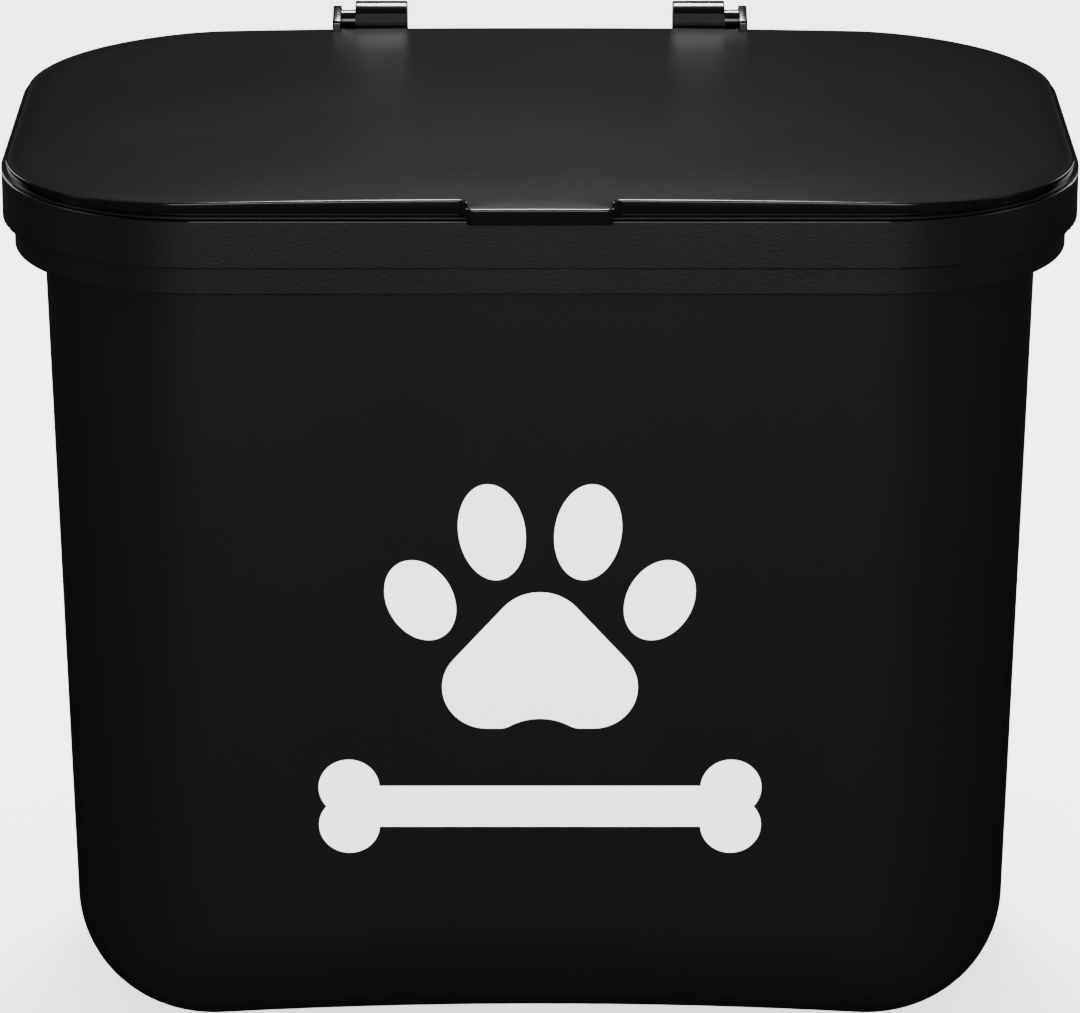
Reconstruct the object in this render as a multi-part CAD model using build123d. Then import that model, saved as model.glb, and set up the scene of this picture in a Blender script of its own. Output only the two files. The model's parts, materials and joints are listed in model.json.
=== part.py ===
from build123d import *
import math
import os

# Dog waste bin: a moulded tub, a lift-off ring that clamps the bag, and a hinged lid.
# Origin: centre of the overall box on the floor. +X to the right, the tab and front wall face -Y, +Z up.

# ---- outline shared by the lid and the ring ----
WIDTH = 252.0
DEPTH = 154.6
CORNER = 47.5
CROWN_DROP = 2.0        # how far the arched lid falls at its left and right ends
PART_Z = 214.0          # parting line of lid and ring, above the floor

# ---- front tab and rear hinge, measured from the outline's front and rear edges ----
TAB_REACH = 6.3
TAB_WIDTH = 33.3
TAB_ROOT_R = 2.0
TAB_CORNER_R = 1.5
TAB_UNDER = 0.5
AXIS_BEHIND = 5.1       # hinge axis behind the rear edge
AXIS_UP = 5.15          # hinge axis above the parting line
NIB_R = 6.0             # reach of the lid's stop nib from the axis
NIB_WALL = 2.2
NIB_GAP = 0.35          # left between nib and bracket foot with the lid open
OPEN_DEG = 105.0

# ---- lid ----
LID_INSET = 1.1
LID_RISE = 4.7
LID_WALL = 1.9
LID_SKIN = 2.2
LIP_RISE = 0.45
LID_EDGE_R = 0.5
PLUG_INSET = 15.0
PLUG_WALL = 1.6
PLUG_DROP = 8.0
RIB_INSET = 8.9
RIB_WALL = 1.2
RIB_UP = 0.5            # seal rib's lower edge above the parting line
STIFFENER = 1.4
STIFFENER_DROP = 1.5    # below the parting line
STIFFENERS_X = (-34, 0, 34)
STIFFENERS_Y = (-22, 0, 22)

# ---- bag ring ----
RING_GAP = 0.3
BAND_DROP = 11.9
BAND_WALL = 2.0
WEB_UNDER = 4.0
MOUTH_INSET = 13.9
LIP_WALL = 1.8
LIP_DROP = 22.0

# ---- tub ----
RIM_DROP = 4.05
RIM_THICK = 2.5
COLLAR_INSET = 2.7
COLLAR_WALL = 2.2
COLLAR_DROP = 18.9
WALL_INSET = 9.27
WALL = 2.2
FLOOR = 2.7
DRAFT = 1.25            # degrees, all four walls
BASE_R = 30.0           # rounding between walls and base
ARCH_RISE = 2.4         # hollow of the base over half the arch span
ARCH_HALF = 80.0
BASE_UP = 0.8           # lowest moulded line of the base above the floor
GUSSET = 1.6
GUSSETS_X = (-69, -46, -23, 0, 23, 46, 69)
GUSSETS_Y = (-24, 0, 24)

# ---- hinge ----
KNUCKLE_R = 4.75
KNUCKLE_FLAT = 4.0      # from the axis to the knuckle's flat front and rear
SHOULDER_GAP = 0.35     # between a pin and the bracket's shoulder under it
EAR_GAP = 0.4           # between the shoulder's end and the ear
KNUCKLE_IN = 33.4
KNUCKLE_OUT = 46.5
EAR_IN = 50.0
EAR_OUT = 52.1
EAR_R = 3.55
EAR_FRONT = 8.2         # ear's front face ahead of the axis
EAR_HEIGHT = 2.4        # ear's front face above the lid
PIN_R = 2.5
PIN_CLEAR = 0.08
BORE_DEPTH = 9.0
FOOT_IN = 31.0
FOOT_OUT = 54.0

# ---- filter ----
CAGE_X = 97.0
CAGE_Y = 73.0
CAGE_R = 9.0
CAGE_WALL = 1.6
CAGE_BOTTOM = 9.5       # below the parting line
CAGE_TOP = 0.2
FRAME_GAP = 0.4
FRAME_DROP = 4.0
SLOT_W = 3.0
SLOT_L = 25.0
SLOT_PITCH = 7.0
SLOTS = 11              # in each of two rows
SLOT_ROW_Y = 16.0
PULL_X = 22.0
PULL_Y = 5.0
PULL_Z = 2.0

# ---- feet and printed graphics ----
PAD_R = 7.0
PAD_TOP = 2.0
PAD_X = 76.0
PAD_Y = 28.0
INK = 0.2
PAW_Z = 109.5
BONE_Z = 65.5
TOE_HALF = 7.8
TOE_OUTER = (28.0, 8.5, 26.0, 10.5)     # across, up, degrees of lean, half length
TOE_INNER = (11.2, 25.5, 8.0, 12.0)
BONE_X = 84.0
BONE_BAR = 10.5
KNOB_R = 7.2
KNOB_X = 45.2
KNOB_Z = 4.8

# ---- worked out ----
LEAN = OPEN_DEG - 90     # degrees that the nib points up behind the axis, lid closed
NIB_REAR = NIB_R * math.cos(math.radians(LEAN)) + NIB_WALL * math.sin(math.radians(LEAN))
REAR_REACH = AXIS_BEHIND + NIB_REAR
PLAN_Y = (TAB_REACH - REAR_REACH) / 2
FRONT_Y = PLAN_Y - DEPTH / 2
REAR_Y = PLAN_Y + DEPTH / 2
AXIS_Y = REAR_Y + AXIS_BEHIND
AXIS_Z = PART_Z + AXIS_UP
CROWN_R = (WIDTH / 2) ** 2 / (2 * CROWN_DROP)
ARCH_R = ARCH_HALF ** 2 / (2 * ARCH_RISE)
LID_TOP = PART_Z + LID_RISE
RIM_Z = PART_Z - RIM_DROP
COLLAR_Z = PART_Z - COLLAR_DROP
FOOT_TOP = NIB_R + NIB_GAP - AXIS_UP    # bracket foot below the parting line
BAND_Z = PART_Z - BAND_DROP
SPAN = 320.0            # longer than any part


def outline(inset, z):
    """The shared rounded-rectangle outline, moved in by inset, at height z."""
    shape = RectangleRounded(WIDTH - 2 * inset, DEPTH - 2 * inset, CORNER - inset)
    return Pos(0, PLAN_Y, z) * shape


def prism(inset, low, high):
    """A straight-sided block of the shared outline."""
    return extrude(outline(inset, low), amount=high - low)


def drafted(inset, high, low):
    """A block of the outline that narrows downwards at the moulding draft."""
    return extrude(outline(inset, high), amount=high - low, dir=(0, 0, -1), taper=DRAFT)


def crown_arc(offset):
    """The lid's crown line at this offset above the parting line, in the XZ plane."""
    drop = (SPAN / 2) ** 2 / (2 * CROWN_R)
    z = PART_Z + offset
    return Plane.XZ * ThreePointArc((-SPAN / 2, z - drop), (0, z), (SPAN / 2, z - drop))


def under_crown(offset):
    """Everything below the crowned surface at this offset from the parting line."""
    arc = crown_arc(offset)
    low = -20.0
    sides = Polyline(arc @ 1, (SPAN / 2, 0, low), (-SPAN / 2, 0, low), arc @ 0)
    face = make_face([arc, sides])
    return extrude(face, amount=SPAN / 2, both=True)


def crowned(inset, low, high):
    """A block of the outline, flat below and crowned on top, both measured from the parting line."""
    return prism(inset, PART_Z + low, PART_Z + 30) & under_crown(high)


def belt(shape, low, high):
    """Edges of the shape that lie between two heights."""
    return shape.edges().filter_by(lambda e: low < e.bounding_box().min.Z and e.bounding_box().max.Z < high)


def tub_form(inset, raise_base):
    """The tub's drafted, round-bottomed, arch-based form, in by inset and up by raise_base."""
    base = BASE_UP + raise_base
    block = drafted(WALL_INSET + inset, RIM_Z, -5.0)
    top = base + ARCH_RISE
    arch = Pos(0, 0, top - ARCH_R) * Rot(90, 0, 0) * Cylinder(ARCH_R, SPAN)
    block -= arch
    return fillet(belt(block, -20, base + ARCH_RISE + 0.1), BASE_R - inset)


def gussets():
    """Thin ribs that tie the collar's skirt to the tub wall, along its straight sides."""
    low = COLLAR_Z + 0.6
    high = RIM_Z - RIM_THICK / 2
    x_reach = WIDTH / 2 - COLLAR_INSET - COLLAR_WALL / 2
    y_reach = DEPTH / 2 - COLLAR_INSET - COLLAR_WALL / 2
    long = Box(GUSSET, 2 * y_reach, high - low)
    across = Box(2 * x_reach, GUSSET, high - low)
    centre = Pos(0, PLAN_Y, (low + high) / 2)
    ribs = [centre * Pos(x, 0, 0) * long for x in GUSSETS_X]
    ribs += [centre * Pos(0, y, 0) * across for y in GUSSETS_Y]
    return ribs


def bin_body():
    """Tub with its rim turned out and down into a collar."""
    collar = prism(COLLAR_INSET, COLLAR_Z, RIM_Z)
    collar = fillet(collar.faces().sort_by(Axis.Z)[0].edges(), 0.6)
    collar = fillet(collar.faces().sort_by(Axis.Z)[-1].edges(), 1.0)
    channel = prism(COLLAR_INSET + COLLAR_WALL, COLLAR_Z - 1, RIM_Z - RIM_THICK)
    tub = collar - channel + tub_form(0, 0)
    tub += gussets()
    tub -= tub_form(WALL, FLOOR)
    for x in (-PAD_X, PAD_X):
        for y in (-PAD_Y, PAD_Y):
            tub -= Pos(x, PLAN_Y + y, PAD_TOP / 2) * Cylinder(PAD_R + 0.1, PAD_TOP)
    return tub


def bracket(side):
    """One hinge bracket on the ring's rear wall, with its knuckle bored from the outer end."""
    width = KNUCKLE_OUT - KNUCKLE_IN
    x = side * (KNUCKLE_IN + KNUCKLE_OUT) / 2
    low = PART_Z - FOOT_TOP - 3
    knuckle = Pos(x, AXIS_Y, AXIS_Z) * Rot(0, 90, 0) * Cylinder(KNUCKLE_R, width)
    knuckle = fillet(knuckle.edges().filter_by(GeomType.CIRCLE), 0.4)
    knuckle &= Pos(x, AXIS_Y, AXIS_Z) * Box(width, 2 * KNUCKLE_FLAT, 4 * KNUCKLE_R)
    neck = Pos(x, AXIS_Y, (low + AXIS_Z) / 2) * Box(width, 2 * KNUCKLE_FLAT, AXIS_Z - low)
    shoulder_top = AXIS_Z - PIN_R - SHOULDER_GAP
    shoulder_out = EAR_IN - EAR_GAP
    shoulder_x = side * (KNUCKLE_IN + shoulder_out) / 2
    shoulder = Pos(shoulder_x, AXIS_Y, (low + shoulder_top) / 2) * Box(
        shoulder_out - KNUCKLE_IN, 2 * KNUCKLE_FLAT, shoulder_top - low
    )
    post = knuckle + neck + shoulder
    foot_height = PART_Z - FOOT_TOP - BAND_Z
    reach = AXIS_BEHIND + KNUCKLE_R + 1.0
    foot_x = side * (FOOT_IN + FOOT_OUT) / 2
    centre = Pos(foot_x, REAR_Y - 1 + reach / 2, PART_Z - FOOT_TOP - foot_height / 2)
    foot = centre * Box(FOOT_OUT - FOOT_IN, reach, foot_height)
    rear_low = foot.edges().filter_by(Axis.X).group_by(Axis.Y)[-1].sort_by(Axis.Z)[0]
    foot = chamfer(rear_low, 6.0)
    foot = fillet(foot.edges().filter_by(Axis.Z).group_by(Axis.Y)[-1], 1.5)
    bore_x = side * (KNUCKLE_OUT - BORE_DEPTH / 2 + 0.5)
    bore = Pos(bore_x, AXIS_Y, AXIS_Z) * Rot(0, 90, 0) * Cylinder(PIN_R + PIN_CLEAR, BORE_DEPTH + 1)
    return foot + post - bore


def bag_ring():
    """Ring that drops over the tub's rim and traps the bag; it carries the hinge brackets."""
    ring = prism(0, BAND_Z, PART_Z - RING_GAP)
    ring = fillet(belt(ring, BAND_Z - 1, BAND_Z + 0.1), 0.5)
    ring = fillet(belt(ring, PART_Z - 3, PART_Z), 0.4)
    channel = prism(BAND_WALL, BAND_Z - 1, PART_Z - WEB_UNDER)
    lip = drafted(MOUTH_INSET - LIP_WALL, PART_Z - WEB_UNDER + 0.5, PART_Z - LIP_DROP)
    mouth = drafted(MOUTH_INSET, PART_Z + 2, PART_Z - LIP_DROP - 2)
    ring = ring - channel + lip - mouth
    inner = ring.edges().filter_by(lambda e: PART_Z - 3 < e.center().Z < PART_Z - 0.2)
    inner = inner.filter_by(lambda e: inside(e.center(), MOUTH_INSET - 1))
    ring = fillet(inner, 1.0)
    for side in (-1, 1):
        ring += bracket(side)
    return ring


def inside(point, inset):
    """True where a point lies within the outline moved in by inset."""
    half_x = WIDTH / 2 - inset
    half_y = DEPTH / 2 - inset
    radius = CORNER - inset
    over_x = max(abs(point.X) - half_x + radius, 0)
    over_y = max(abs(point.Y - PLAN_Y) - half_y + radius, 0)
    return math.hypot(over_x, over_y) < radius


def tab():
    """Thumb tab at the lid's front edge, with hollow-cornered roots."""
    front = FRONT_Y - TAB_REACH
    root = FRONT_Y + LID_INSET
    half = TAB_WIDTH / 2
    flare = half + TAB_ROOT_R
    line = Polyline((half, root - TAB_ROOT_R), (half, front), (-half, front), (-half, root - TAB_ROOT_R))
    left = RadiusArc((-half, root - TAB_ROOT_R), (-flare, root), TAB_ROOT_R)
    right = RadiusArc((flare, root), (half, root - TAB_ROOT_R), TAB_ROOT_R)
    back = Polyline((-flare, root), (-flare, root + 1), (flare, root + 1), (flare, root))
    plan = make_face([line, left, back, right])
    corners = plan.vertices().group_by(Axis.Y)[0]
    plan = fillet(corners, TAB_CORNER_R)
    block = extrude(Pos(0, 0, PART_Z + TAB_UNDER) * plan, amount=20)
    return block & under_crown(LID_RISE)


def ear(side):
    """Hinge ear at the lid's rear edge: sloping top, eye for the pin and a stop nib behind."""
    width = EAR_OUT - EAR_IN
    x = side * (EAR_IN + EAR_OUT) / 2
    front = -EAR_FRONT
    lid_top = LID_TOP - AXIS_Z - x ** 2 / (2 * CROWN_R)
    brow = lid_top + EAR_HEIGHT
    heel = PART_Z + 1.4 - AXIS_Z
    profile = Polyline(
        (0, EAR_R), (front, brow), (front, lid_top - 1), (front + 1.6, heel), (-1.2, heel),
        (1.5, -EAR_R + 0.4), (0, EAR_R),
    )
    plate = make_face(profile)
    plate = fillet(plate.vertices().sort_by_distance((front, brow))[0], 0.9)
    eye = Circle(EAR_R)
    nib = Rot(0, 0, LEAN) * Pos(NIB_R / 2, -NIB_WALL / 2) * Rectangle(NIB_R, NIB_WALL)
    side_view = Plane((x - width / 2, AXIS_Y, AXIS_Z), x_dir=(0, 1, 0), z_dir=(1, 0, 0))
    solid = extrude(side_view * (plate + eye + nib), amount=width)
    hole = Pos(x, AXIS_Y, AXIS_Z) * Rot(0, 90, 0) * Cylinder(PIN_R, width * 2)
    return solid - hole


def lid_frame():
    """Upright frame under the lid that the filter cage pushes onto."""
    gap = CAGE_WALL + FRAME_GAP
    outer = RectangleRounded(CAGE_X - 2 * gap, CAGE_Y - 2 * gap, CAGE_R - gap)
    inner = offset(outer, -CAGE_WALL)
    height = LID_RISE + FRAME_DROP
    frame = extrude(Pos(0, PLAN_Y, PART_Z - FRAME_DROP) * (outer - inner), amount=height)
    return frame & under_crown(LID_RISE - LID_SKIN + 0.5)


def lid():
    """Arched lid: skin, side wall, lip, plug wall, seal rib, tab, ears and filter frame."""
    top = crowned(LID_INSET, 0, LID_RISE) + tab()
    rim = belt(top, PART_Z + 1.5, PART_Z + 8)
    top = fillet(rim, LID_EDGE_R)
    hollow = crowned(LID_INSET + LID_WALL, -2, LID_RISE - LID_SKIN)
    lip = prism(0, PART_Z, PART_Z + LIP_RISE) - prism(LID_INSET + LID_WALL, PART_Z - 20, PART_Z + 20)
    shell = top - hollow + lip
    under = LID_RISE - LID_SKIN + 0.4
    plug = prism(PLUG_INSET, PART_Z - PLUG_DROP, PART_Z + 10) & under_crown(under)
    plug -= prism(PLUG_INSET + PLUG_WALL, PART_Z - PLUG_DROP - 1, PART_Z + 20)
    seal_rib = crowned(RIB_INSET, RIB_UP, under) - prism(RIB_INSET + RIB_WALL, PART_Z - 20, PART_Z + 20)
    shell += [plug, seal_rib, lid_frame()]
    shell += stiffeners(under)
    for side in (-1, 1):
        shell += ear(side)
    return shell


def stiffeners(under):
    """Low ribs from the filter frame out to the plug wall."""
    low = PART_Z - STIFFENER_DROP
    height = 12.0           # cut off under the crown
    reach_x = WIDTH / 2 - PLUG_INSET - 0.5
    reach_y = DEPTH / 2 - PLUG_INSET - 0.5
    inner_x = CAGE_X / 2 + 0.6
    inner_y = CAGE_Y / 2 + 0.6
    centre = Pos(0, PLAN_Y, low + height / 2)
    ribs = []
    for side in (-1, 1):
        for y in STIFFENERS_Y:
            length = reach_x - inner_x
            ribs.append(centre * Pos(side * (inner_x + length / 2), y, 0) * Box(length, STIFFENER, height))
        for x in STIFFENERS_X:
            length = reach_y - inner_y
            ribs.append(centre * Pos(x, side * (inner_y + length / 2), 0) * Box(STIFFENER, length, height))
    return [rib & under_crown(under) for rib in ribs]


def lid_seal():
    """Soft gasket between the seal rib and the plug wall."""
    outer = RIB_INSET + RIB_WALL + 0.2
    ring = crowned(outer, 0, LID_RISE - LID_SKIN - 0.05)
    return ring - prism(outer + 3.2, PART_Z - 20, PART_Z + 20)


def hinge_pin(side):
    """Pin pressed through the ear, turning in the knuckle's blind bore."""
    start = KNUCKLE_OUT - BORE_DEPTH + 0.5
    length = EAR_OUT - start
    body = Rot(0, 90, 0) * Cylinder(PIN_R, length)
    body = chamfer(body.edges().filter_by(GeomType.CIRCLE), 0.3)
    return Pos(side * (start + length / 2), AXIS_Y, AXIS_Z) * body


def filter_cage():
    """Slotted tray that pushes onto the frame under the lid, with a pull tab in front."""
    low = PART_Z - CAGE_BOTTOM
    height = CAGE_BOTTOM + CAGE_TOP
    outer = RectangleRounded(CAGE_X, CAGE_Y, CAGE_R)
    inner = RectangleRounded(CAGE_X - 2 * CAGE_WALL, CAGE_Y - 2 * CAGE_WALL, CAGE_R - CAGE_WALL)
    shell = extrude(Pos(0, PLAN_Y, low) * outer, amount=height)
    shell = fillet(shell.faces().sort_by(Axis.Z)[0].edges(), 1.2)
    shell -= extrude(Pos(0, PLAN_Y, low + CAGE_WALL) * inner, amount=height)
    pull = Pos(0, PLAN_Y - CAGE_Y / 2 - 2, low + PULL_Z / 2) * Box(PULL_X, PULL_Y, PULL_Z)
    pull = fillet(pull.edges().filter_by(Axis.Z).group_by(Axis.Y)[0], 2)
    shell += pull
    for column in range(SLOTS):
        x = (column - (SLOTS - 1) / 2) * SLOT_PITCH
        for y in (-SLOT_ROW_Y, SLOT_ROW_Y):
            slot = Pos(x, PLAN_Y + y, low - 1) * SlotOverall(SLOT_L, SLOT_W, rotation=90)
            shell -= extrude(slot, amount=CAGE_WALL + 2)
    return shell


def carbon_pad():
    """Square of activated-carbon foam lying in the filter cage."""
    gap = CAGE_WALL + 1.0
    plan = RectangleRounded(CAGE_X - 2 * gap, CAGE_Y - 2 * gap, CAGE_R - gap)
    low = PART_Z - CAGE_BOTTOM + CAGE_WALL
    return extrude(Pos(0, PLAN_Y, low) * plan, amount=CAGE_BOTTOM - CAGE_WALL - FRAME_DROP - 0.2)


def foot(x, y):
    """Round grip pad pressed into the base."""
    pad = Pos(x, PLAN_Y + y, PAD_TOP / 2) * Cylinder(PAD_R, PAD_TOP)
    return chamfer(pad.faces().sort_by(Axis.Z)[0].edges(), 0.3)


def front_wall(z):
    """Plane on the tub's drafted front wall at height z, facing out."""
    lean = math.radians(DRAFT)
    y = FRONT_Y + WALL_INSET + (RIM_Z - z) * math.tan(lean)
    return Plane((0, y, z), x_dir=(1, 0, 0), z_dir=(0, -math.cos(lean), -math.sin(lean)))


def printed(sketch, z):
    """A thin printed shape on the front wall."""
    return extrude(front_wall(z) * sketch, amount=INK)


def paw_pad():
    """Main pad of the paw graphic: a rounded triangle with a shallow hollow below."""
    lobes = Pos(-12.5, -13.5) * Circle(10.5) + Pos(12.5, -13.5) * Circle(10.5)
    crest = Pos(0, -1) * Circle(11.5)
    pad = make_hull(lobes.edges() + crest.edges()) - Pos(0, -36) * Circle(14.5)
    return fillet(pad.vertices().filter_by(lambda v: abs(v.X) < 9 and v.Y < -20), 5.0)


def toe(side, place):
    """One toe of the paw graphic, leaning away from the middle."""
    across, up, lean, half_length = place
    return Pos(side * across, up) * Rot(0, 0, -side * lean) * Ellipse(TOE_HALF, half_length)


def bone():
    """Bone graphic: a bar with two round knobs at each end."""
    shape = Rectangle(BONE_X, BONE_BAR)
    for x in (-KNOB_X, KNOB_X):
        for z in (-KNOB_Z, KNOB_Z):
            shape += Pos(x, z) * Circle(KNOB_R)
    return shape


def save(shape, node):
    """Write one sub-part."""
    export_step(shape, f"parts/{node}.step")


def main():
    os.makedirs("parts", exist_ok=True)
    save(bin_body(), "bin_body")
    save(bag_ring(), "bag_ring")
    save(lid(), "lid")
    save(lid_seal(), "lid_seal")
    save(filter_cage(), "filter_cage")
    save(carbon_pad(), "carbon_pad")
    for side, name in ((-1, "left"), (1, "right")):
        save(hinge_pin(side), f"hinge_pin_{name}")
        save(foot(side * PAD_X, -PAD_Y), f"foot_front_{name}")
        save(foot(side * PAD_X, PAD_Y), f"foot_rear_{name}")
        save(printed(toe(side, TOE_OUTER), PAW_Z), f"print_toe_outer_{name}")
        save(printed(toe(side, TOE_INNER), PAW_Z), f"print_toe_inner_{name}")
    save(printed(paw_pad(), PAW_Z), "print_paw_pad")
    save(printed(bone(), BONE_Z), "print_bone")


main()
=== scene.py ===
"""Studio scene of a small dog waste bin: its finishes, its lid and trim in full detail, light and camera.

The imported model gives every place. Sizes below are in millimetres unless a name says otherwise.
"""

from __future__ import annotations

import json
import logging
import math
from dataclasses import dataclass
from enum import Enum
from typing import Any, Callable, Iterable, Sequence

import bmesh
import bpy
from mathutils import Matrix, Vector, noise

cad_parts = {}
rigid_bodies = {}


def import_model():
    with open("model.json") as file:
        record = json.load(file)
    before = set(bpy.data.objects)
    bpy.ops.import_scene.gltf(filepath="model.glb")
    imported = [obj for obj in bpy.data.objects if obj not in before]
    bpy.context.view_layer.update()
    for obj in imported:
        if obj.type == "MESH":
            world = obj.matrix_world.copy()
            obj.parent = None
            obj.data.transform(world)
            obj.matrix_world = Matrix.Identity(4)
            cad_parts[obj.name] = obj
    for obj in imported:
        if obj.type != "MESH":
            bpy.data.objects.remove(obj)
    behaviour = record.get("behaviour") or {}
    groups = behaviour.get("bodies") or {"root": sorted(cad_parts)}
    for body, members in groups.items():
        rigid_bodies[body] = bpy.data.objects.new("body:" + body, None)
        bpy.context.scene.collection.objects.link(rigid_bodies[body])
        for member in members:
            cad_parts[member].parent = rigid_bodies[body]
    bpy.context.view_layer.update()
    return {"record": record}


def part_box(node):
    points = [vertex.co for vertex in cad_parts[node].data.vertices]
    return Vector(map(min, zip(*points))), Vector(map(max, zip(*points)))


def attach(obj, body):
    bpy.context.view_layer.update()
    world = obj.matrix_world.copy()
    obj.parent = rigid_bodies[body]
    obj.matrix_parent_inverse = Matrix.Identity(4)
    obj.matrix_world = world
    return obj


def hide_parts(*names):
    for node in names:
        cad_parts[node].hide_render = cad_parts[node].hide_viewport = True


LOG = logging.getLogger("waste_bin")
MM = 0.001
WELD = 0.001 * MM  # points closer than this are one point
CAGE_UNDER_PARTING = 9.5  # from the filter cage's lowest face up to the parting line of lid and ring
CREASE_DEGREES = 35.0  # edges sharper than this stay crisp
Point = tuple[float, float]


# ---------------------------------------------------------------- shader helpers


def linear(code: str, gain: float = 1.0) -> tuple[float, float, float, float]:
    """Turn an sRGB hex colour into linear light.

    Args:
        code: Six hex digits.
        gain: Factor on the linear values.

    Returns:
        Linear red, green and blue, and an alpha of one.
    """
    parts = [int(code[i : i + 2], 16) / 255 for i in (0, 2, 4)]
    light = [c / 12.92 if c <= 0.04045 else ((c + 0.055) / 1.055) ** 2.4 for c in parts]
    return (light[0] * gain, light[1] * gain, light[2] * gain, 1.0)


def add_node(
    tree: bpy.types.NodeTree,
    kind: str,
    settings: dict[str | int, Any] | None = None,
    links: dict[str | int, bpy.types.NodeSocket] | None = None,
) -> bpy.types.Node:
    """Add one node with its settings and incoming links.

    Args:
        tree: Tree that receives the node.
        kind: Blender's name for the kind of node.
        settings: Values of the node's own properties, or of its input sockets by name or number.
        links: Output sockets to join to its inputs, by the input's name or number.

    Returns:
        The new node.
    """
    node = tree.nodes.new(kind)
    for name, value in (settings or {}).items():
        if isinstance(name, str) and name.islower():
            setattr(node, name, value)
        else:
            node.inputs[name].default_value = value
    for name, source in (links or {}).items():
        tree.links.new(source, node.inputs[name])
    return node


def blank_material(name: str) -> tuple[bpy.types.Material, bpy.types.NodeTree]:
    """Start a material with an empty tree.

    Args:
        name: Name of the real material and how it was made.

    Returns:
        The material and its tree.
    """
    material = bpy.data.materials.new(name)
    material.use_nodes = True
    material.node_tree.nodes.clear()
    return material, material.node_tree


def close_material(tree: bpy.types.NodeTree, settings: dict[str, Any], links: dict[str, Any]) -> None:
    """End a tree in one Principled shader.

    Args:
        tree: The material's tree.
        settings: Socket values of the shader.
        links: Output sockets that feed it.
    """
    shader = add_node(tree, "ShaderNodeBsdfPrincipled", settings, links)
    add_node(tree, "ShaderNodeOutputMaterial", links={"Surface": shader.outputs["BSDF"]})


# ---------------------------------------------------------------- finishes


class Mask(Enum):
    """Where a textured moulding is polished instead."""

    NOWHERE = "nowhere"
    BEHIND = "behind a plane across the part"


@dataclass(frozen=True)
class MouldedPolypropylene:
    """Polypropylene moulded against a spark-eroded face.

    The eye sees an even, deep colour with a soft grey sheen, broken by a fine grain. Where the mask says so,
    the mould was polished instead: there the sheen is tighter and has no grain.
    """

    name: str
    colour: str = "080809"
    roughness: float = 0.3
    roughness_spread: float = 0.01
    polished_roughness: float = 0.16
    grain_mm: float = 0.7  # real grain is near 0.1 mm; drawn coarser so that it shows
    flow_mm: float = 45.0  # width of the faint cloudy patches left by the flowing melt
    relief: float = 0.4
    relief_mm: float = 0.12
    specular: float = 0.5
    mask: Mask = Mask.NOWHERE
    plane_y: float = 0.0  # place of the mask's plane, in metres

    def make(self) -> bpy.types.Material:
        """Build the material.

        Returns:
            The finished material.
        """
        material, tree = blank_material(self.name)
        place = add_node(tree, "ShaderNodeTexCoord").outputs["Object"]
        grain = add_node(
            tree,
            "ShaderNodeTexNoise",
            {"Scale": 1 / (self.grain_mm * MM), "Detail": 2.0, "Roughness": 0.7},
            {"Vector": place},
        )
        flow = add_node(
            tree, "ShaderNodeTexNoise", {"Scale": 1 / (self.flow_mm * MM), "Detail": 3.0}, {"Vector": place}
        )
        rough = add_node(
            tree,
            "ShaderNodeMapRange",
            {
                "From Min": 0.3,
                "From Max": 0.7,
                "To Min": self.roughness - self.roughness_spread,
                "To Max": self.roughness + self.roughness_spread,
            },
            {"Value": flow.outputs["Fac"]},
        ).outputs["Result"]
        tint = add_node(
            tree,
            "ShaderNodeMix",
            {"data_type": "RGBA", 6: linear(self.colour, 0.85), 7: linear(self.colour, 1.15)},
            {0: grain.outputs["Fac"]},
        )
        height = grain.outputs["Fac"]
        if self.mask is Mask.BEHIND:
            split = add_node(tree, "ShaderNodeSeparateXYZ", links={0: place})
            behind = add_node(
                tree,
                "ShaderNodeMath",
                {"operation": "GREATER_THAN", 1: self.plane_y},
                {0: split.outputs["Y"]},
            ).outputs[0]
            rough = add_node(
                tree, "ShaderNodeMix", {3: self.polished_roughness}, {0: behind, 2: rough}
            ).outputs[0]
            height = add_node(tree, "ShaderNodeMix", {3: 0.5}, {0: behind, 2: height}).outputs[0]
        bump = add_node(
            tree,
            "ShaderNodeBump",
            {"Strength": self.relief, "Distance": self.relief_mm * MM},
            {"Height": height},
        )
        close_material(
            tree,
            {"IOR": 1.49, "Specular IOR Level": self.specular},
            {"Base Color": tint.outputs[2], "Roughness": rough, "Normal": bump.outputs["Normal"]},
        )
        return material


@dataclass(frozen=True)
class PolishedPlastic:
    """Black plastic with a smooth face, from a polished mould or a lathe.

    The eye sees a sharp reflection, dulled in patches by faint haze from handling.
    """

    name: str
    colour: str = "060607"
    roughness: float = 0.12
    haze: float = 0.05
    haze_mm: float = 14.0

    def make(self) -> bpy.types.Material:
        """Build the material.

        Returns:
            The finished material.
        """
        material, tree = blank_material(self.name)
        place = add_node(tree, "ShaderNodeTexCoord").outputs["Object"]
        cloud = add_node(
            tree, "ShaderNodeTexNoise", {"Scale": 1 / (self.haze_mm * MM), "Detail": 4.0}, {"Vector": place}
        )
        rough = add_node(
            tree,
            "ShaderNodeMapRange",
            {
                "From Min": 0.35,
                "From Max": 0.7,
                "To Min": self.roughness,
                "To Max": self.roughness + self.haze,
            },
            {"Value": cloud.outputs["Fac"]},
        )
        tint = add_node(
            tree,
            "ShaderNodeMix",
            {"data_type": "RGBA", 6: linear(self.colour, 0.9), 7: linear(self.colour, 1.1)},
            {0: cloud.outputs["Fac"]},
        )
        close_material(
            tree, {"IOR": 1.49}, {"Base Color": tint.outputs[2], "Roughness": rough.outputs["Result"]}
        )
        return material


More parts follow.
